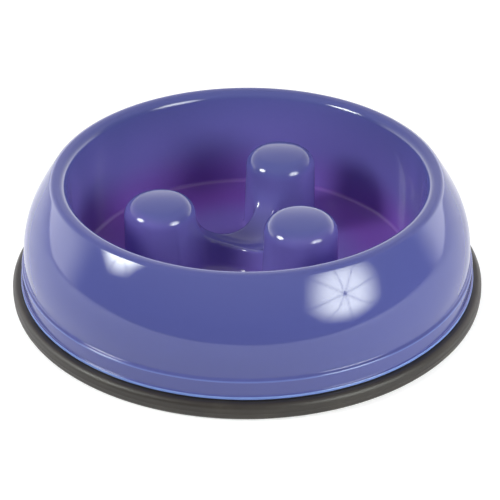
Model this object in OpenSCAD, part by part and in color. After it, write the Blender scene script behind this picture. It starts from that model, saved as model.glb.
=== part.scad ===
// Slow feeder bowl: a thin-walled plastic moulding with three raised pillars, on a rubber ring. The moulding
// is drawn in eight parts that meet face to face: skirt, rim, basin wall, floor pan, web and three pillars.
// Origin: centre of the bowl on the surface it stands on. Z is up. The first pillar is at 60 degrees from X.

/* [Skirt] */
// Diameter of the outer wall, just above the step near its foot
skirt_d = 263.8; // [250:0.2:300]
// Height at which the outer wall starts to curve inwards
shoulder_z = 26; // [24:0.5:32]
// Height from where the outer wall stops curving up to the top of the rim
shoulder_drop = 16.6; // [14:0.2:20]
// Angle through which the outer wall curves before it runs straight up to the rim
shoulder_angle = 31; // [26:0.5:34]
// Height of the middle of the small step round the foot
step_z = 21.2; // [18:0.1:22]
// How far the band below the step stands out past the wall above it
step_out = 1.8; // [1:0.1:2.4]
// Radius of the step's two small curves
step_r = 1.2; // [1.2:0.1:2.2]
// Angle of the band below the step from upright
band_draft = 1.6; // [0:0.1:3]
// How far the lip under the band stands out past the band
lip_out = 1.1; // [0.9:0.1:2]
// Height of the lip's underside
lip_z = 10; // [9.4:0.1:12]
// Thickness of the lip
lip_t = 2; // [1.6:0.1:3]
// Radius of the lip's edge and of the corner above it
lip_round_r = 0.8; // [0.4:0.1:0.8]

/* [Rim and basin] */
// Height of the rim above the surface that the bowl stands on
bowl_h = 73.5; // [71:0.5:90]
// Radius of the rim's outer edge
rim_outer_r = 4; // [3.2:0.1:6]
// Radius of the rim's inner edge
rim_inner_r = 8.5; // [6:0.1:10]
// Angle of the basin's wall from upright
basin_draft = 4.9; // [2:0.1:8]
// Height of the basin's floor
floor_z = 12.2; // [10:0.1:16]
// Radius of the corner between the floor and the basin's wall
floor_corner_r = 3; // [2:0.5:6]
// Thickness of the plastic
wall = 2.5; // [1.8:0.1:3]

/* [Pillars] */
// Diameter of each pillar below its rounded edge
pillar_d = 42.2; // [38:0.2:46]
// Diameter of the circle through the pillars' centres
pillar_circle_d = 102.4; // [96:0.2:112]
// Height of the first pillar's top above the surface that the bowl stands on
first_pillar_z = 62; // [54:0.5:70]
// Height of the second pillar's top
second_pillar_z = 58; // [54:0.5:70]
// Height of the third pillar's top
third_pillar_z = 67; // [54:0.5:70]
// Radius of the pillar's rounded edge
pillar_edge_r = 9; // [7:0.5:11]
// Radius of the slight crown of the pillar's top
pillar_crown_r = 90; // [60:5:150]
// Angle of the pillar's side from upright
pillar_draft = 1.1; // [0.5:0.1:3]
// Radius of the corner between a pillar and the floor
pillar_foot_r = 4; // [2:0.5:6]

/* [Web] */
// Height of the web that joins the pillars, at its middle
web_z = 26.8; // [24:0.2:31]
// Radius of the hollow of the web's top, which rises towards the pillars
web_dish_r = 48; // [46:0.5:60]
// How far the circle of each hollow side, at the web's crest, laps over the pillars on both sides of it
web_side_lap = 4.1; // [3.4:0.1:5]
// Distance from the bowl's centre to each hollow side of the web at its crest
web_neck = 12.1; // [11.5:0.1:13.5]
// Angle of the web's sides from upright
web_draft = 7; // [5:1:10]
// Radius of the corner between the web and the floor
web_foot_r = 5; // [3:0.5:6]
// How far the web runs on into each pillar, past the pillar's side
web_end_lap = 10.9; // [10:0.1:11.4]

/* [Foot rib and rubber ring] */
// Thickness of the rib under the lip that holds the ring
rib_t = 2.2; // [1.6:0.1:2.4]
// How far the rib's outer face lies inside the lip's edge
rib_inset = 1.7; // [1.2:0.1:2.4]
// Thickness of the small bead round the rib's tip
bead_out = 0.5; // [0.3:0.1:0.8]
// Height of the bead
bead_h = 1.8; // [1.2:0.1:2.4]
// Clearance between the rib and the ring's groove
groove_gap = 0.15; // [0.05:0.05:0.3]
// How far the ring stands out past the lip
ring_out = 5.2; // [3.5:0.1:8]
// Height of the ring's outer side
ring_h = 9.8; // [8:0.1:9.8]
// Radius of the ring's upper outer edge
ring_top_r = 3; // [2:0.1:3.4]
// Radius of the ring's lower outer edge
ring_bottom_r = 2.6; // [1.5:0.1:3]
// Thickness of the rubber under the rib
ring_floor_t = 3; // [2:0.1:4]
// Thickness of the ring's inner side
ring_inner_t = 3.4; // [2.5:0.1:4.5]
// Height of the ring's inner side
ring_inner_h = 8; // [6.5:0.1:9]
// Radius of the ring's two inner edges
ring_inner_r = 1.2; // [0.5:0.1:1.5]
// Gap under the lip, where the ring's top starts
lip_gap = 0.8; // [0.4:0.1:1.2]

/* [Hidden] */
plastic_colour = "#5a5fa0";
rubber_colour = "#33302a";
arc_steps = 8;
round_fn = 180;
pillar_count = 3;
first_pillar_angle = 60;
pillar_angle_step = 360 / pillar_count;
pillar_tops = [first_pillar_z, second_pillar_z, third_pillar_z];
square_angle = 90;
half_turn = 180;
// The round corners of the pillars and the web run this far into the floor, so that the surfaces cross
// and don't only touch.
sink = wall / 20;

skirt_r = skirt_d / 2;
band_r = skirt_r + step_out;
lip_r = band_r + lip_out;
ring_r = lip_r + ring_out;
rib_outer_r = lip_r - rib_inset;
rib_inner_r = rib_outer_r - rib_t;
pillar_r = pillar_d / 2;
pillar_circle_r = pillar_circle_d / 2;

// The step is two equal arcs that meet at an angle: one bulges out below, one is hollow above.
step_angle = acos((2 * step_r - step_out) / (2 * step_r));
step_rise = step_r * sin(step_angle);
// The skirt curves inwards up to here, and a straight cone leads on to the rim.
shoulder_r = (bowl_h - shoulder_drop - shoulder_z) / sin(shoulder_angle);
shoulder_end = [skirt_r - shoulder_r * (1 - cos(shoulder_angle)), bowl_h - shoulder_drop];
cone_rise = bowl_h - rim_outer_r * (1 - sin(shoulder_angle)) - shoulder_end[1];
rim_r = shoulder_end[0] - cone_rise * tan(shoulder_angle) - rim_outer_r * cos(shoulder_angle);
// The basin's wall, from the rim's inner edge down to the floor.
wall_top = [rim_r - rim_inner_r * cos(basin_draft), bowl_h - rim_inner_r * (1 - sin(basin_draft))];
floor_corner_z = floor_z + floor_corner_r;
basin_lean = (wall_top[1] - floor_corner_z) * tan(basin_draft);
floor_corner_x = wall_top[0] - basin_lean - floor_corner_r / cos(basin_draft);
// The pillar's crown and edge arcs touch where the line through their centres meets them.
edge_x = pillar_r - pillar_edge_r;
crown_angle = asin(edge_x / (pillar_crown_r - pillar_edge_r));
edge_drop = pillar_crown_r - (pillar_crown_r - pillar_edge_r) * cos(crown_angle);
// The circle of each hollow side of the web is as large as its laps over the two pillars beside it make
// it, and the web ends inside the pillars.
lap_r = pillar_r - web_side_lap;
pillar_forward = pillar_circle_r * cos(pillar_angle_step / 2);
neck_to_pillar = sqrt(pow(web_neck, 2) + pow(pillar_circle_r, 2) - 2 * web_neck * pillar_forward);
web_side_r = (pow(neck_to_pillar, 2) - pow(lap_r, 2)) / (2 * (pillar_forward + lap_r - web_neck));
web_reach = pillar_circle_r - pillar_r + web_end_lap;

// The moulding's parts meet on two level planes: one just under the rim's curve, one just over the floor.
rim_cut_z = wall_top[1] - wall;
floor_cut_z = floor_z + pillar_foot_r;

// Points of an arc about a centre, from one angle to another, both ends included
function arc(centre, r, from, to) =
    [for (i = [0 : arc_steps]) let (a = from + (to - from) * i / arc_steps) centre + r * [cos(a), sin(a)]];

function turned(points) = [for (i = [len(points) - 1 : -1 : 0]) points[i]];

// Each of these lines follows the plastic's outer surface with inset 0, and its underside with inset wall.
function cone_point(z, inset) =
    [shoulder_end[0] - (z - shoulder_end[1]) * tan(shoulder_angle) - inset / cos(shoulder_angle), z];

function basin_point(z, inset) =
    [wall_top[0] - (wall_top[1] - z) * tan(basin_draft) + inset / cos(basin_draft), z];

function shoulder_line(inset) = concat(
    arc([skirt_r - shoulder_r, shoulder_z], shoulder_r - inset, 0, shoulder_angle),
    [cone_point(rim_cut_z, inset)]
);

function rim_line(inset) = concat(
    [cone_point(rim_cut_z, inset)],
    arc([rim_r, bowl_h - rim_outer_r], rim_outer_r - inset, shoulder_angle, square_angle),
    arc([rim_r, bowl_h - rim_inner_r], rim_inner_r - inset, square_angle, half_turn - basin_draft),
    [basin_point(rim_cut_z, inset)]
);

function pan_line(inset) = concat(
    [basin_point(floor_cut_z, inset)],
    arc([floor_corner_x, floor_corner_z], floor_corner_r + inset, -basin_draft, -square_angle),
    [[0, floor_z - inset]]
);

// A domed pillar's outline from the top of its axis down to the floor
function pillar_line(top_z, inset) =
    let (edge = [edge_x, top_z - edge_drop], foot_z = floor_z + pillar_foot_r - sink)
    let (side_x = edge_x + pillar_edge_r / cos(pillar_draft) + (edge[1] - foot_z) * tan(pillar_draft))
    concat(
        arc([0, top_z - pillar_crown_r], pillar_crown_r - inset, square_angle, square_angle - crown_angle),
        arc(edge, pillar_edge_r - inset, square_angle - crown_angle, pillar_draft),
        arc(
            [side_x + pillar_foot_r / cos(pillar_draft), foot_z],
            pillar_foot_r + inset,
            half_turn + pillar_draft,
            half_turn + square_angle
        ),
        [[0, floor_z - sink - inset]]
    );

// What is cut from each side of the web: a cone that widens upwards, with a rounded corner at the floor
function web_side_line(inset) =
    let (foot_z = floor_z + web_foot_r - sink)
    let (foot_x = web_side_r - web_foot_r / cos(web_draft) - (web_z - foot_z) * tan(web_draft))
    concat(
        [[0, bowl_h], [0, floor_z - sink - inset]],
        arc([foot_x, foot_z], web_foot_r + inset, -square_angle, -web_draft),
        [[web_side_r + inset / cos(web_draft) + (bowl_h - web_z) * tan(web_draft), bowl_h]]
    );

module turn_solid(points) {
    rotate_extrude($fn = round_fn)
        polygon(points);
}

module pillar_form(i, inset) {
    rotate(first_pillar_angle + i * pillar_angle_step)
        translate([pillar_circle_r, 0, 0])
            turn_solid(pillar_line(pillar_tops[i], inset));
}

// The web between the pillars: a disc with three hollow sides and a dished top
module web_form(inset) {
    difference() {
        translate([0, 0, floor_z - sink / 2 - inset])
            cylinder(h = bowl_h, r = web_reach, $fn = round_fn);
        translate([0, 0, web_z + web_dish_r])
            sphere(web_dish_r + inset, $fn = round_fn);
        for (i = [0 : pillar_count - 1])
            rotate(first_pillar_angle + (i + 1 / 2) * pillar_angle_step)
                translate([web_neck + web_side_r, 0, 0])
                    turn_solid(web_side_line(inset));
    }
}

module all_raised_forms(inset) {
    for (i = [0 : pillar_count - 1])
        pillar_form(i, inset);
    web_form(inset);
}

module under_floor_cut() {
    cylinder(h = floor_cut_z, r = skirt_r);
}

// The outer wall with its step, its lip and the rib that holds the ring
module skirt() {
    foot_outside = concat(
        [
            [rib_outer_r, ring_floor_t],
            [rib_outer_r + bead_out, ring_floor_t + bead_h / 2],
            [rib_outer_r, ring_floor_t + bead_h],
            [rib_outer_r, lip_z],
            [lip_r, lip_z]
        ],
        arc([lip_r - lip_round_r, lip_z + lip_t - lip_round_r], lip_round_r, 0, square_angle),
        [
            [band_r + (step_z - lip_z - lip_t) * tan(band_draft), lip_z + lip_t],
            [band_r, step_z - step_rise]
        ],
        arc([band_r - step_r, step_z - step_rise], step_r, 0, step_angle),
        arc([skirt_r + step_r, step_z + step_rise], step_r, half_turn + step_angle, half_turn)
    );
    foot_inside = [
        [skirt_r - wall, shoulder_z],
        [rib_inner_r, step_z - step_rise],
        [rib_inner_r, ring_floor_t]
    ];
    color(plastic_colour)
        turn_solid(concat(foot_outside, shoulder_line(0), turned(shoulder_line(wall)), foot_inside));
}

// The rolled rim, an upside-down channel that joins the skirt to the basin's wall
module rim() {
    color(plastic_colour)
        turn_solid(concat(rim_line(0), turned(rim_line(wall))));
}

module basin_wall() {
    color(plastic_colour)
        turn_solid([
            basin_point(floor_cut_z, 0),
            basin_point(floor_cut_z, wall),
            basin_point(rim_cut_z, wall),
            basin_point(rim_cut_z, 0)
        ]);
}

// The floor with its corner and the round feet of the pillars and the web, open beneath each of them
module floor_pan() {
    color(plastic_colour)
        difference() {
            union() {
                turn_solid(concat(pan_line(0), turned(pan_line(wall))));
                intersection() {
                    all_raised_forms(0);
                    under_floor_cut();
                }
            }
            all_raised_forms(wall);
        }
}

module web() {
    color(plastic_colour)
        difference() {
            web_form(0);
            web_form(wall);
            for (i = [0 : pillar_count - 1])
                pillar_form(i, 0);
            under_floor_cut();
        }
}

// A hollow pillar above its foot, cut open towards the hollow of the web
module pillar(i) {
    color(plastic_colour)
        difference() {
            pillar_form(i, 0);
            pillar_form(i, wall);
            web_form(wall);
            under_floor_cut();
        }
}

module first_pillar() {
    pillar(0);
}

module second_pillar() {
    pillar(1);
}

module third_pillar() {
    pillar(2);
}

// The ring's section: a deep groove that takes the rib, a thick outer side and a thin inner side
module rubber_ring() {
    groove_outer = rib_outer_r + groove_gap;
    groove_inner = rib_inner_r - groove_gap;
    inner_x = groove_inner - ring_inner_t;
    color(rubber_colour)
        turn_solid(concat(
            arc([inner_x + ring_inner_r, ring_inner_r], ring_inner_r, half_turn, half_turn + square_angle),
            arc([ring_r - ring_bottom_r, ring_bottom_r], ring_bottom_r, -square_angle, 0),
            arc([ring_r - ring_top_r, ring_h - ring_top_r], ring_top_r, 0, square_angle),
            [
                [groove_outer, lip_z - lip_gap],
                [groove_outer, ring_floor_t + bead_h + groove_gap],
                [groove_outer + bead_out, ring_floor_t + bead_h / 2],
                [groove_outer, ring_floor_t],
                [groove_inner, ring_floor_t],
                [groove_inner, ring_inner_h]
            ],
            arc([inner_x + ring_inner_r, ring_inner_h - ring_inner_r], ring_inner_r, square_angle, half_turn)
        ));
}

skirt();
rim();
basin_wall();
floor_pan();
web();
first_pillar();
second_pillar();
third_pillar();
rubber_ring();
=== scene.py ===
import math

import bpy
import numpy as np
from mathutils import Matrix, Vector


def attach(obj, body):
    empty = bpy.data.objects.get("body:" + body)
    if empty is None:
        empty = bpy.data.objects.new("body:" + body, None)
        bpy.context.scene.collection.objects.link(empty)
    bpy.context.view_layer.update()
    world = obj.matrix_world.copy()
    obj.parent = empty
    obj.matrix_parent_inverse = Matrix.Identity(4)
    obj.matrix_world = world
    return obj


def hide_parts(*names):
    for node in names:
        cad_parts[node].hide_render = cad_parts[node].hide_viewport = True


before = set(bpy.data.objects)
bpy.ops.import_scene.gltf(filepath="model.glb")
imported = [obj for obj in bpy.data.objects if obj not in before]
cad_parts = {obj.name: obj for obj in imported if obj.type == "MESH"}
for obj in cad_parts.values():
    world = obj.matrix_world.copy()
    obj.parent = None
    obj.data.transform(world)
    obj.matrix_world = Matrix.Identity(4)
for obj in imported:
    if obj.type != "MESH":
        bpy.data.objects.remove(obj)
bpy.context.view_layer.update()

# The non-slip ring is one loop of soft black rubber, moulded with a deep groove in its top.
# It is stretched over the rib under the bowl's lip, and its rounded side stands out all round.
ring_radius = 0.13988
ring_height = 0.0098
ring_top_round = 0.003
ring_bottom_round = 0.0026
ring_inner_radius = 0.12735
ring_inner_height = 0.008
ring_inner_round = 0.0012
groove_outer = 0.13325
groove_inner = 0.13075
groove_floor = 0.003
groove_lead = 0.0004
groove_lead_top = 0.0093
groove_lead_foot = 0.0089
bead_middle = 0.0039
bead_height = 0.0018
bead_depth = 0.0005
parting_height = 0.0044
parting_width = 0.0003
parting_out = 0.00012
turning_steps = 240
turned_crease = 35
merge_reach = 1e-6


def arc(centre, radius, start, end, steps):
    """Points of an arc in the X-Z plane, with angles in degrees."""
    angles = [math.radians(start + (end - start) * i / steps) for i in range(steps + 1)]
    return [(centre[0] + radius * math.cos(a), centre[1] + radius * math.sin(a)) for a in angles]


def activate(piece):
    """Makes one piece the only selected and the active object."""
    bpy.ops.object.select_all(action="DESELECT")
    piece.select_set(True)
    bpy.context.view_layer.objects.active = piece


def turn(name, outline, closed=True):
    """Turns an outline of (radius, height) points into a round piece about the Z axis."""
    count = len(outline)
    mesh = bpy.data.meshes.new(name)
    edges = [(i, (i + 1) % count) for i in range(count if closed else count - 1)]
    mesh.from_pydata([(x, 0, z) for x, z in outline], edges, [])
    piece = bpy.data.objects.new(name, mesh)
    bpy.context.collection.objects.link(piece)
    activate(piece)
    bpy.ops.object.mode_set(mode="EDIT")
    bpy.ops.mesh.select_all(action="SELECT")
    bpy.ops.mesh.spin(steps=turning_steps, angle=2 * math.pi, center=(0, 0, 0), axis=(0, 0, 1))
    bpy.ops.mesh.select_all(action="SELECT")
    bpy.ops.mesh.remove_doubles(threshold=merge_reach)
    bpy.ops.mesh.normals_make_consistent(inside=False)
    bpy.ops.object.mode_set(mode="OBJECT")
    bpy.ops.object.shade_smooth_by_angle(angle=math.radians(turned_crease))
    return piece


class Socket:
    """A node's output, on which Python arithmetic adds Math nodes."""

    def __init__(self, finish, link):
        self.finish = finish
        self.link = link

    def maths(self, operation, *values):
        return self.finish.node("ShaderNodeMath", {"operation": operation}, *values)

    def __add__(self, other):
        return self.maths("ADD", self, other)

    def __radd__(self, other):
        return self.maths("ADD", other, self)

    def __rsub__(self, other):
        return self.maths("SUBTRACT", other, self)

    def __mul__(self, other):
        return self.maths("MULTIPLY", self, other)

    def power(self, other):
        return self.maths("POWER", self, other)

    def clamped(self):
        return self.finish.node("ShaderNodeClamp", {}, self)

    def ramp(self, low, high):
        """0 below low and 1 above high, with soft ends."""
        settings = {"interpolation_type": "SMOOTHSTEP"}
        return self.finish.node("ShaderNodeMapRange", settings, self, low, high)


class Finish:
    """A node tree, with methods that add nodes to it."""

    def __init__(self, tree):
        self.tree = tree
        self.tree.nodes.clear()

    def add(self, kind, settings=None, **sockets):
        node = self.tree.nodes.new(kind)
        for name, value in (settings or {}).items():
            setattr(node, name, value)
        for name, value in sockets.items():
            self.feed(node.inputs[name.replace("_", " ")], value)
        return node

    def node(self, kind, settings, *values, output=0):
        node = self.add(kind, settings)
        for socket, value in zip(node.inputs, values):
            self.feed(socket, value)
        return Socket(self, node.outputs[output])

    def feed(self, socket, value):
        if isinstance(value, Socket):
            self.tree.links.new(value.link, socket)
        elif value is not None:
            socket.default_value = value

    def place(self, scale=1.0):
        """Object coordinates in metres, times a scale."""
        coordinates = Socket(self, self.add("ShaderNodeTexCoord").outputs["Object"])
        return self.node("ShaderNodeVectorMath", {"operation": "SCALE"}, coordinates, None, None, scale)

    def noise(self, per_metre, detail, roughness=0.5):
        node = self.add("ShaderNodeTexNoise", Vector=self.place(per_metre))
        node.inputs["Scale"].default_value = 1.0
        node.inputs["Detail"].default_value = detail
        node.inputs["Roughness"].default_value = roughness
        return Socket(self, node.outputs["Fac"])

    def blend(self, factor, low, high):
        node = self.add("ShaderNodeMix", {"data_type": "RGBA"})
        self.feed(node.inputs["Factor"], factor)
        for socket, value in ((node.inputs[6], low), (node.inputs[7], high)):
            self.feed(socket, value)
        return Socket(self, node.outputs[2])

    def bump(self, height, distance):
        node = self.add("ShaderNodeBump", Height=height, Distance=distance, Strength=1.0)
        return Socket(self, node.outputs["Normal"])


def material(name, build):
    """A new material whose nodes are added by the function build, which gives back its shader."""
    made = bpy.data.materials.new(name)
    made.use_nodes = True
    finish = Finish(made.node_tree)
    output = finish.add("ShaderNodeOutputMaterial")
    made.node_tree.links.new(build(finish).outputs[0], output.inputs["Surface"])
    return made


def wear_material(piece, made):
    piece.data.materials.clear()
    piece.data.materials.append(made)


ring_outline = (
    arc((ring_inner_radius + ring_inner_round, ring_inner_round), ring_inner_round, 180, 270, 6)
    + arc((ring_radius - ring_bottom_round, ring_bottom_round), ring_bottom_round, -90, 0, 10)
    + [
        (ring_radius, parting_height - parting_width),
        (ring_radius + parting_out, parting_height),
        (ring_radius, parting_height + parting_width),
    ]
    + arc((ring_radius - ring_top_round, ring_height - ring_top_round), ring_top_round, 0, 90, 12)
    + [
        (groove_outer + groove_lead, groove_lead_top),
        (groove_outer, groove_lead_foot),
        (groove_outer, bead_middle + bead_height / 2),
        (groove_outer + bead_depth, bead_middle),
        (groove_outer, groove_floor),
        (groove_inner, groove_floor),
        (groove_inner, ring_inner_height),
    ]
    + arc(
        (ring_inner_radius + ring_inner_round, ring_inner_height - ring_inner_round),
        ring_inner_round, 90, 180, 6,
    )
)
rubber_ring = turn("non_slip_ring", ring_outline)

rubber_black = (0.0170, 0.0130, 0.0095, 1)
rubber_dusty = (0.044, 0.036, 0.027, 1)
rubber_clouds_per_metre = 38
rubber_grains_per_metre = 2600
dust_specks_per_metre = 900
cloud_edges = (0.42, 0.72)
speck_edges = (0.66, 0.74)
cloud_dust = 0.5
speck_dust = 0.25
rubber_roughness = 0.40
rubber_roughness_spread = 0.14
rubber_grain_depth = 0.00006
rubber_cloud_share = 0.6
rubber_index = 1.52


def rubber(finish):
    cloud = finish.noise(rubber_clouds_per_metre, detail=4, roughness=0.6)
    grain = finish.noise(rubber_grains_per_metre, detail=2)
    specks = finish.noise(dust_specks_per_metre, detail=1).ramp(*speck_edges)
    dust = cloud.ramp(*cloud_edges) * cloud_dust + specks * speck_dust
    colour = finish.blend(dust, rubber_black, rubber_dusty)
    shader = finish.add("ShaderNodeBsdfPrincipled")
    finish.feed(shader.inputs["Base Color"], colour)
    finish.feed(shader.inputs["Roughness"], rubber_roughness + cloud * rubber_roughness_spread)
    relief = grain + cloud * rubber_cloud_share
    finish.feed(shader.inputs["Normal"], finish.bump(relief, rubber_grain_depth))
    shader.inputs["IOR"].default_value = rubber_index
    return shader


wear_material(rubber_ring, material("black_rubber", rubber))
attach(rubber_ring, "root")
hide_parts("rubber_ring")

# The bowl is one injection moulding in glossy blue plastic: a single skin that rises from the lip,
# rolls over the rim and drops to the floor, so that it is open underneath. This is its turned part.
plastic_wall = 0.0025
skirt_radius = 0.1319
shoulder_height = 0.026
shoulder_round = 0.0628
shoulder_angle = 28
rim_slope = 36
step_height = 0.0212
step_out = 0.0018
step_round = 0.0012
band_draft = 1.6
lip_out = 0.0011
lip_bottom = 0.010
lip_thickness = 0.002
lip_round = 0.0007
lip_corner = 0.0006
lip_break = 0.0002
rib_outer = 0.1331
rib_inner = 0.1309
bowl_height = 0.0735
rim_outer_round = 0.004
rim_crown = 0.020
rim_inner_round = 0.0052
rim_inner_width = 0.0063
basin_draft = 4.9
floor_height = 0.0122
floor_corner = 0.003
floor_ring_radius = 0.088


def tangent(angle):
    return math.tan(math.radians(angle))


def cosine(angle):
    return math.cos(math.radians(angle))


def sine(angle):
    return math.sin(math.radians(angle))


band_radius = skirt_radius + step_out
lip_radius = band_radius + lip_out
step_angle = math.degrees(math.acos((2 * step_round - step_out) / (2 * step_round)))
step_rise = step_round * sine(step_angle)
shoulder_rise = shoulder_round * sine(shoulder_angle)
upper_rise = bowl_height - rim_outer_round * (1 - sine(rim_slope)) - shoulder_height - shoulder_rise
upper_round = upper_rise / (sine(rim_slope) - sine(shoulder_angle))
shoulder_centre = (skirt_radius - shoulder_round, shoulder_height)
upper_centre = (
    shoulder_centre[0] + (shoulder_round - upper_round) * cosine(shoulder_angle),
    shoulder_centre[1] + (shoulder_round - upper_round) * sine(shoulder_angle),
)
rim_radius = upper_centre[0] + (upper_round - rim_outer_round) * cosine(rim_slope)
crown_reach = rim_crown - rim_inner_round
crown_sine = (rim_inner_width - rim_inner_round + rim_crown * sine(basin_draft)) / crown_reach
crown_turn = math.degrees(math.asin(crown_sine)) - basin_draft
inner_centre = (
    rim_radius - crown_reach * sine(crown_turn),
    bowl_height - rim_crown + crown_reach * cosine(crown_turn),
)
wall_top_radius = inner_centre[0] - rim_inner_round * cosine(basin_draft)
wall_top_height = inner_centre[1] + rim_inner_round * sine(basin_draft)
corner_height = floor_height + floor_corner
corner_radius = (
    wall_top_radius
    - (wall_top_height - corner_height) * tangent(basin_draft)
    - floor_corner / cosine(basin_draft)
)


def skin_line(inset):
    """The skin from the floor over the rim to the skirt, or with an inset its underside."""
    return (
        [(floor_ring_radius, floor_height - inset)]
        + arc((corner_radius, corner_height), floor_corner + inset, -90, -basin_draft, 10)
        + arc(inner_centre, rim_inner_round - inset, 180 - basin_draft, 90 + crown_turn, 16)
        + arc((rim_radius, bowl_height - rim_crown), rim_crown - inset, 90 + crown_turn, 90, 6)
        + arc((rim_radius, bowl_height - rim_outer_round), rim_outer_round - inset, 90, rim_slope, 12)
        + arc(upper_centre, upper_round - inset, rim_slope, shoulder_angle, 8)
        + arc(shoulder_centre, shoulder_round - inset, shoulder_angle, 0, 22)
    )


band_foot = band_radius + (step_height - lip_bottom - lip_thickness) * tangent(band_draft)
foot_line = (
    arc((skirt_radius + step_round, step_height + step_rise), step_round, 180, 180 + step_angle, 9)
    + arc((band_radius - step_round, step_height - step_rise), step_round, step_angle, 0, 9)
    + arc((band_foot + lip_corner, lip_bottom + lip_thickness + lip_corner), lip_corner, 180, 270, 5)
    + arc((lip_radius - lip_round, lip_bottom + lip_thickness - lip_round), lip_round, 90, 0, 7)
    + [
        (lip_radius, lip_bottom + lip_break),
        (lip_radius - lip_break, lip_bottom),
        (rib_outer, lip_bottom),
        (rib_outer, bead_middle + bead_height / 2),
        (rib_outer + bead_depth, bead_middle),
        (rib_outer, groove_floor),
        (rib_inner, groove_floor),
        (rib_inner, step_height - step_rise),
    ]
)
moulding = turn("bowl_moulding", skin_line(0) + foot_line + skin_line(plastic_wall)[::-1], closed=False)

# The floor's middle carries three hollow pillars of different heights and the low web between them.
# They run into the floor and each other through round corners, as the mould leaves them.
pillar_radius = 0.0211
pillar_circle = 0.0512
pillar_angles = (60, 180, 300)
pillar_tops = (0.062, 0.058, 0.067)
pillar_edge = 0.009
pillar_crown = 0.090
pillar_draft = 1.1
pillar_foot = 0.004
web_middle = 0.0267
web_dish = 0.048
web_side = 0.0305
web_neck = 0.0121
web_draft = 7
web_edge = 0.0018
web_corner = 0.007
web_foot = 0.006
web_reach = 0.041
web_crest = 0.044
slab_depth = 0.006
slab_overrun = 0.004
voxel = 0.0014
soft_middle = 0.084
slope_reach = 1e-5
least_slope = 0.25
longest_move = 0.002
first_rounds = 16
easing_rounds = 12
easing_share = 0.5
rounds_after_easing = 3
last_rounds = 8
moulding_crease = 40

edge_centre = pillar_radius - pillar_edge
crown_angle = math.asin(edge_centre / (pillar_crown - pillar_edge))
edge_drop = pillar_crown - (pillar_crown - pillar_edge) * math.cos(crown_angle)
pillar_places = [(pillar_circle * cosine(a), pillar_circle * sine(a)) for a in pillar_angles]


def join_round(a, b, radius):
    """Distance to two joined bodies, with a round corner where they meet."""
    corner = np.hypot(np.maximum(radius - a, 0), np.maximum(radius - b, 0))
    return np.maximum(radius, np.minimum(a, b)) - corner


def cut_round(a, b, radius):
    """Distance to what two bodies share, with a round edge where they meet."""
    edge = np.hypot(np.maximum(radius + a, 0), np.maximum(radius + b, 0))
    return np.minimum(-radius, np.maximum(a, b)) + edge


def pillar_distance(points, place, top):
    across = np.hypot(points[:, 0] - place[0], points[:, 1] - place[1]) - edge_centre
    up = points[:, 2] - (top - edge_drop)
    side = across * cosine(pillar_draft) + up * sine(pillar_draft) - pillar_edge
    crown = np.hypot(across + edge_centre, up + pillar_crown - edge_drop) - pillar_crown
    edge = np.hypot(across, up) - pillar_edge
    direction = np.arctan2(up, across)
    on_edge = (direction > math.radians(pillar_draft)) & (direction < math.pi / 2 - crown_angle)
    return np.where(on_edge, edge, np.where(direction >= math.pi / 2 - crown_angle, crown, side))


def web_distance(points):
    x, y, z = points.T
    sides = np.full(len(points), -1.0)
    for angle in pillar_angles:
        away = (web_neck + web_side) * np.array((-cosine(angle), -sine(angle)))
        radius = web_side + (z - web_middle) * tangent(web_draft)
        sides = np.maximum(sides, (radius - np.hypot(x - away[0], y - away[1])) * cosine(web_draft))
    dish = web_dish - np.sqrt(x**2 + y**2 + (z - web_middle - web_dish) ** 2)
    ends = np.maximum(np.hypot(x, y) - web_reach, z - web_crest)
    return np.maximum(cut_round(sides, dish, web_edge), ends)


def floor_distance(points):
    """Distance from the surface of the floor with its pillars and web."""
    pillars = [pillar_distance(points, place, top) for place, top in zip(pillar_places, pillar_tops)]
    nearest = np.minimum.reduce(pillars)
    raised = join_round(web_distance(points), nearest, web_corner)
    foot = np.where(nearest < web_distance(points), pillar_foot, web_foot)
    return join_round(raised, points[:, 2] - floor_height, foot)


def steepest(points):
    """The slope of the distance at each point, as a vector."""
    steps = np.eye(3) * slope_reach
    rises = [floor_distance(points + step) - floor_distance(points - step) for step in steps]
    return np.stack(rises, 1) / (2 * slope_reach)


def settle(points, rounds):
    """Moves points to the nearest place on the surface."""
    for _ in range(rounds):
        slope = steepest(points)
        length = np.maximum((slope**2).sum(1), least_slope)
        move = np.clip(floor_distance(points) / length, -longest_move, longest_move)
        points = points - move[:, None] * slope
    return points


def block(kind, name, **size):
    """Adds a primitive as a new object and gives it back."""
    bpy.ops.object.select_all(action="DESELECT")
    getattr(bpy.ops.mesh, f"primitive_{kind}_add")(**size)
    bpy.context.object.name = name
    return bpy.context.object


def finish_with(piece, kind, **settings):
    """Adds a modifier and applies it."""
    activate(piece)
    modifier = piece.modifiers.new(kind.lower(), kind)
    for name, value in settings.items():
        setattr(modifier, name, value)
    bpy.ops.object.modifier_apply(modifier=modifier.name)


def join(pieces):
    activate(pieces[0])
    for piece in pieces:
        piece.select_set(True)
    bpy.ops.object.join()
    return pieces[0]


def points_of(piece):
    flat = np.empty(len(piece.data.vertices) * 3)
    piece.data.vertices.foreach_get("co", flat)
    return flat.reshape(-1, 3)


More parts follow.
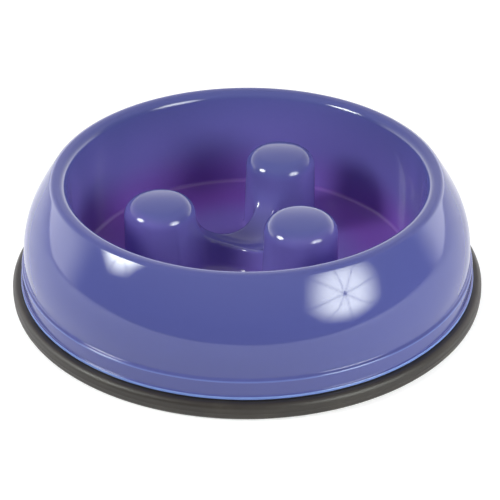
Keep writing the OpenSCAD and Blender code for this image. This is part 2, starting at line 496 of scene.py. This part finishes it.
slab_middle = floor_height - slab_depth / 2
slab = block(
    "cylinder", "floor_middle",
    vertices=96, radius=soft_middle + slab_overrun, depth=slab_depth,
    location=(0, 0, slab_middle),
)
web_core = block(
    "cylinder", "web_core",
    vertices=96, radius=web_reach, depth=web_crest - floor_height,
    location=(0, 0, (web_crest + floor_height) / 2),
)
dish_cutter = block(
    "uv_sphere", "dish_cutter",
    segments=96, ring_count=64, radius=web_dish,
    location=(0, 0, web_middle + web_dish),
)
cutters = [dish_cutter]
for angle in pillar_angles:
    reach = -(web_neck + web_side)
    side_cutter = block(
        "cylinder", "side_cutter",
        vertices=96, radius=web_side, depth=web_dish * 2,
        location=(reach * cosine(angle), reach * sine(angle), web_middle),
    )
    cutters.append(side_cutter)
for cutter in cutters:
    finish_with(web_core, "BOOLEAN", operation="DIFFERENCE", object=cutter)
    bpy.data.objects.remove(cutter)
roughs = [slab, web_core]
for place, top in zip(pillar_places, pillar_tops):
    pillar = block(
        "cylinder", "pillar",
        vertices=48, radius=pillar_radius, depth=top - slab_middle,
        location=(*place, (top + slab_middle) / 2),
    )
    roughs.append(pillar)
floor_middle = join(roughs)
bpy.ops.object.transform_apply(location=True, rotation=True, scale=True)
finish_with(floor_middle, "REMESH", mode="VOXEL", voxel_size=voxel, adaptivity=0)

# The rough shape is moved onto the smooth surface, and its points are spread evenly along it.
edges = np.array([edge.vertices[:] for edge in floor_middle.data.edges])
counts = np.bincount(edges.ravel(), minlength=len(floor_middle.data.vertices))
points = points_of(floor_middle)
from_axis = np.hypot(points[:, 0], points[:, 1])
skin = (points[:, 2] > floor_height - voxel) & (from_axis < soft_middle + voxel)
points[skin] = settle(points[skin], first_rounds)
for _ in range(easing_rounds):
    sums = np.zeros_like(points)
    np.add.at(sums, edges[:, 0], points[edges[:, 1]])
    np.add.at(sums, edges[:, 1], points[edges[:, 0]])
    eased = points * (1 - easing_share) + sums / counts[:, None] * easing_share
    points[skin] = settle(eased[skin], rounds_after_easing)
points[skin] = settle(points[skin], last_rounds)
floor_middle.data.vertices.foreach_set("co", points.ravel())

activate(floor_middle)
for face in floor_middle.data.polygons:
    middle = face.center
    face.select = middle.z < floor_height - voxel / 4 or math.hypot(middle.x, middle.y) > soft_middle
bpy.ops.object.mode_set(mode="EDIT")
bpy.ops.mesh.select_mode(type="FACE")
bpy.ops.mesh.delete(type="FACE")
bpy.ops.mesh.select_all(action="SELECT")
bpy.ops.mesh.normals_make_consistent(inside=False)
bpy.ops.object.mode_set(mode="OBJECT")
finish_with(
    floor_middle, "SOLIDIFY",
    thickness=plastic_wall, offset=-1, use_rim=False, use_even_offset=True,
)

# The gap between the turned skin and the floor's middle is filled, first on top and then underneath.
join([moulding, floor_middle])
mid_skin = floor_height - plastic_wall / 2
only_borders = dict(use_wire=False, use_multi_face=False, use_non_contiguous=False, use_verts=False)
for low, high in ((mid_skin, 1), (-1, mid_skin)):
    bpy.ops.object.mode_set(mode="EDIT")
    bpy.ops.mesh.select_mode(type="EDGE")
    bpy.ops.mesh.select_all(action="DESELECT")
    bpy.ops.mesh.select_non_manifold(extend=False, use_boundary=True, **only_borders)
    bpy.ops.object.mode_set(mode="OBJECT")
    for edge in moulding.data.edges:
        height = moulding.data.vertices[edge.vertices[0]].co.z
        edge.select = edge.select and low < height < high
    bpy.ops.object.mode_set(mode="EDIT")
    bpy.ops.mesh.fill(use_beauty=True)
    bpy.ops.object.mode_set(mode="OBJECT")
bpy.ops.object.mode_set(mode="EDIT")
bpy.ops.mesh.select_all(action="SELECT")
bpy.ops.mesh.normals_make_consistent(inside=False)
bpy.ops.object.mode_set(mode="OBJECT")
bpy.ops.object.shade_smooth_by_angle(angle=math.radians(moulding_crease))

# The plastic is blue where it is open. Inside the bowl its colour holds painted light and shade,
# steered by ambient occlusion
# and height: violet and paler on the basin's wall, purple in the floor's corners, bluer on the floor's
# middle between the pillars, and paler still as painted fill light where it is most enclosed. The lip's
# edge and the foot of the step carry a painted highlight.
plastic_open = (0.066, 0.075, 0.245, 1)
plastic_wall_painted_shading = (0.122, 0.104, 0.350, 1)
plastic_corner_painted_shading = (0.185, 0.068, 0.385, 1)
plastic_middle_painted_shading = (0.172, 0.115, 0.420, 1)
plastic_enclosed_painted_fill = (0.175, 0.140, 0.480, 1)
plastic_painted_highlight = (0.180, 0.265, 0.600, 1)
painted_shade_reach = 0.08
painted_shade_samples = 12
painted_shade_open_edges = (0.55, 0.95)
painted_fill_edges = (0.25, 0.42)
deep_height = 0.008
inside_height = 0.042
floor_middle_edge = 0.050
floor_corner_edge = 0.082
inside_edge = 0.104
outside_edge = 0.110
step_foot_share = 0.6
step_foot = step_height - step_rise * step_foot_share
step_highlight_strength = 0.35
plastic_clouds_per_metre = 14
plastic_waves_per_metre = 55
plastic_grains_per_metre = 1500
plastic_roughness = 0.05
plastic_roughness_spread = 0.04
plastic_grain_share = 0.02
plastic_wave_depth = 0.00004
plastic_index = 1.5


def blue_plastic(finish):
    cloud = finish.noise(plastic_clouds_per_metre, detail=3, roughness=0.55)
    waves = finish.noise(plastic_waves_per_metre, detail=1)
    grain = finish.noise(plastic_grains_per_metre, detail=2)
    # The ambient occlusion only steers the painted shade and painted fill light in the base colour.
    settings = {"samples": painted_shade_samples}
    recess = finish.add("ShaderNodeAmbientOcclusion", settings, Distance=painted_shade_reach)
    enclosure = Socket(finish, recess.outputs["AO"])
    painted_shade_fade = enclosure.ramp(*painted_shade_open_edges)
    spot = finish.add("ShaderNodeSeparateXYZ", Vector=finish.place())
    sideways = Socket(finish, spot.outputs["X"])
    backwards = Socket(finish, spot.outputs["Y"])
    height = Socket(finish, spot.outputs["Z"])
    across = (sideways.power(2) + backwards.power(2)).power(0.5)
    # Painted shade: purple in the floor's corners, bluer on its middle, violet up the wall, paler as
    # painted fill where most enclosed.
    low = finish.blend(across.ramp(floor_middle_edge, floor_corner_edge), plastic_middle_painted_shading, plastic_corner_painted_shading)
    painted_shade = finish.blend(height.ramp(deep_height, inside_height), low, plastic_wall_painted_shading)
    painted_shade = finish.blend(enclosure.ramp(*painted_fill_edges), plastic_enclosed_painted_fill, painted_shade)
    outside = across.ramp(inside_edge, outside_edge)
    body = finish.blend((painted_shade_fade + outside).clamped(), painted_shade, plastic_open)
    # Painted highlights: a pale line along the foot of the step outside, and one along the lip's edge.
    from_below = height.ramp(step_foot - step_round / 2, step_foot)
    from_above = 1 - height.ramp(step_foot, step_height)
    step_painted_highlight = from_below * from_above * outside * step_highlight_strength
    lip_painted_highlight = across.ramp(lip_radius - lip_round / 2, lip_radius)
    colour = finish.blend((step_painted_highlight + lip_painted_highlight).clamped(), body, plastic_painted_highlight)
    shader = finish.add("ShaderNodeBsdfPrincipled")
    finish.feed(shader.inputs["Base Color"], colour)
    finish.feed(shader.inputs["Roughness"], plastic_roughness + cloud * plastic_roughness_spread)
    relief = waves + grain * plastic_grain_share
    finish.feed(shader.inputs["Normal"], finish.bump(relief, plastic_wave_depth))
    shader.inputs["IOR"].default_value = plastic_index
    return shader


wear_material(moulding, material("blue_plastic", blue_plastic))
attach(moulding, "root")
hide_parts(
    "skirt", "rim", "basin_wall", "floor_pan", "web",
    "first_pillar", "second_pillar", "third_pillar",
)

# The bowl stands on a flat white studio table, lit until it looks as white as the background.
# The table's front edge is half a metre from the bowl's middle, so the bowl's front mirrors white
# paper low down and the dark room above a curved border.
floor_half = 2.2
floor_front = 0.52
floor_drop = 0.0002
paper_white = (0.80, 0.80, 0.80, 1)
paper_shown = (0.62, 0.62, 0.62, 1)
paper_glow = 0.50
white = (1, 1, 1, 1)


def white_paper(finish):
    ray = finish.add("ShaderNodeLightPath")
    straight = Socket(finish, ray.outputs["Is Camera Ray"])
    mirrored = Socket(finish, ray.outputs["Is Glossy Ray"])
    seen = (straight + mirrored).clamped()
    paper = finish.add("ShaderNodeBsdfDiffuse", Color=paper_white)
    shown = finish.add("ShaderNodeBsdfDiffuse", Color=paper_shown)
    glow = finish.add("ShaderNodeEmission", Color=white, Strength=paper_glow)
    both = finish.add("ShaderNodeAddShader")
    finish.tree.links.new(shown.outputs[0], both.inputs[0])
    finish.tree.links.new(glow.outputs[0], both.inputs[1])
    mix = finish.add("ShaderNodeMixShader")
    finish.feed(mix.inputs["Fac"], seen)
    finish.tree.links.new(paper.outputs[0], mix.inputs[1])
    finish.tree.links.new(both.outputs[0], mix.inputs[2])
    return mix


table = block("grid", "studio_table", x_subdivisions=2, y_subdivisions=2, size=1, location=(0, 0, 0))
table.scale = (2 * floor_half, floor_half + floor_front, 1)
table.location = (0, (floor_half - floor_front) / 2, -floor_drop)
bpy.ops.object.transform_apply(location=True, rotation=True, scale=True)
wear_material(table, material("white_paper", white_paper))

# Two round studio umbrellas light the bowl, high on the left and at the front right.
# Each has a pale cloth in eight gores between darker ribs, and the flash's head before its middle.
camera_turn = 6.31
# Name, direction round the bowl and angle above the table in degrees, distance, radius, strength.
lamps = (
    ("left_umbrella", -162, 33, 1.0, 0.235, 32.0),
    ("right_umbrella", -42.3, 23, 1.0, 0.36, 16.0),
)
rib_width = 0.009
rib_glow = 0.35
head_radius = 0.015
head_out = 0.01
cloth_bright = (0.95, 1.0, 0.95, 1)
cloth_dim = (0.05, 0.05, 0.05, 1)
cloth_fade_start = 0.25
frame_dark = (0.03, 0.03, 0.03, 1)


def umbrella_cloth(hub, radius, strength):
    def build(finish):
        settings = {"operation": "DISTANCE"}
        from_hub = finish.node("ShaderNodeVectorMath", settings, finish.place(), hub, output=1)
        colour = finish.blend(from_hub.ramp(cloth_fade_start * radius, radius), cloth_bright, cloth_dim)
        return finish.add("ShaderNodeEmission", Color=colour, Strength=strength)

    return build


def dark_frame(finish):
    return finish.add("ShaderNodeBsdfDiffuse", Color=frame_dark)


frame_black = material("umbrella_frame", dark_frame)
for name, azimuth, height, distance, radius, strength in lamps:
    turned = azimuth - camera_turn
    level = cosine(height)
    place = Vector((cosine(turned) * level, sine(turned) * level, sine(height))) * distance
    umbrella = block("circle", name, vertices=8, radius=radius, fill_type="TRIFAN")
    bpy.ops.object.mode_set(mode="EDIT")
    bpy.ops.mesh.select_all(action="SELECT")
    bpy.ops.mesh.inset(thickness=rib_width / 2, use_individual=True)
    bpy.ops.object.mode_set(mode="OBJECT")
    wear_material(umbrella, material(name, umbrella_cloth(place, radius, strength)))
    ribs = material(name + "_ribs", umbrella_cloth(place, radius, strength * rib_glow))
    umbrella.data.materials.append(ribs)
    # The inset leaves the gores selected, and the strips between them are the ribs.
    for face in umbrella.data.polygons:
        face.material_index = 0 if face.select else 1
    head = block(
        "circle", "flash_head",
        vertices=16, radius=head_radius, fill_type="NGON", location=(0, 0, head_out),
    )
    bpy.ops.object.transform_apply(location=True, rotation=True, scale=True)
    wear_material(head, frame_black)
    join([umbrella, head])
    facing = (-place).to_track_quat("Z", "Y").to_matrix().to_4x4()
    umbrella.data.transform(Matrix.Translation(place) @ facing)
    umbrella.visible_camera = False

# Behind the bowl the room is bright near the table and dimmer overhead; behind the camera it is dark.
behind_edges = (0.02, 0.36)
side_edges = (0.01, 0.4)
overhead_edges = (0.2, 0.8)
low_fall = 3.0
low_gain = 1.8
low_middle = 0.7
low_sides = 0.3
room_bright = (2.8, 2.8, 2.85, 1)
room_overhead = (0.58, 0.55, 0.61, 1)
room_dark = (0.10, 0.10, 0.11, 1)
world = bpy.data.worlds.new("studio")
bpy.context.scene.world = world
world.use_nodes = True
sky = Finish(world.node_tree)
output = sky.add("ShaderNodeOutputWorld")
ray = sky.add("ShaderNodeLightPath")
coordinates = Socket(sky, sky.add("ShaderNodeTexCoord").outputs["Generated"])
direction = sky.add("ShaderNodeSeparateXYZ", Vector=coordinates)
behind = Socket(sky, direction.outputs["Y"]).ramp(*behind_edges)
elevation = Socket(sky, direction.outputs["Z"])
sideways = Socket(sky, direction.outputs["X"]).power(2).ramp(*side_edges)
near_table = ((1 - elevation.clamped()).power(low_fall) * low_gain).clamped()
low = near_table * (low_middle + sideways * low_sides)
back = sky.blend(low, room_overhead, room_bright)
front = sky.blend(elevation.ramp(*overhead_edges), room_dark, room_overhead)
room = sky.blend(behind, front, back)
seen = Socket(sky, ray.outputs["Is Camera Ray"])
colour = sky.blend(seen, room, white)
background = sky.add("ShaderNodeBackground", Color=colour, Strength=1.0)
world.node_tree.links.new(background.outputs[0], output.inputs["Surface"])

# The camera stands where the photographer's did, found from the rim, lip and foot circles.
camera_distance = 0.790
camera_height = 0.5057
camera_pitch = 31.58
camera_yaw = 0.124
camera_roll = -0.143
focal_pixels = 1551.8
picture_pixels = 500
sensor = 36.0
nearest_shown = 0.01

camera_data = bpy.data.cameras.new("camera")
camera_data.sensor_width = sensor
camera_data.sensor_fit = "HORIZONTAL"
camera_data.lens = focal_pixels / picture_pixels * sensor
camera_data.clip_start = nearest_shown
camera = bpy.data.objects.new("camera", camera_data)
bpy.context.collection.objects.link(camera)
ahead = Vector((
    sine(camera_yaw) * cosine(camera_pitch),
    cosine(camera_yaw) * cosine(camera_pitch),
    -sine(camera_pitch),
))
right = Vector((cosine(camera_yaw), -sine(camera_yaw), 0))
up = right.cross(ahead)
level = Matrix((right, up, -ahead)).transposed()
roll = Matrix.Rotation(math.radians(camera_roll), 3, "Z")
turn_about = Matrix.Rotation(math.radians(-camera_turn), 4, "Z")
stand = Matrix.Translation((0, -camera_distance, camera_height))
camera.matrix_world = turn_about @ stand @ (level @ roll).to_4x4()
bpy.context.scene.camera = camera
bpy.context.scene.view_settings.view_transform = "Standard"
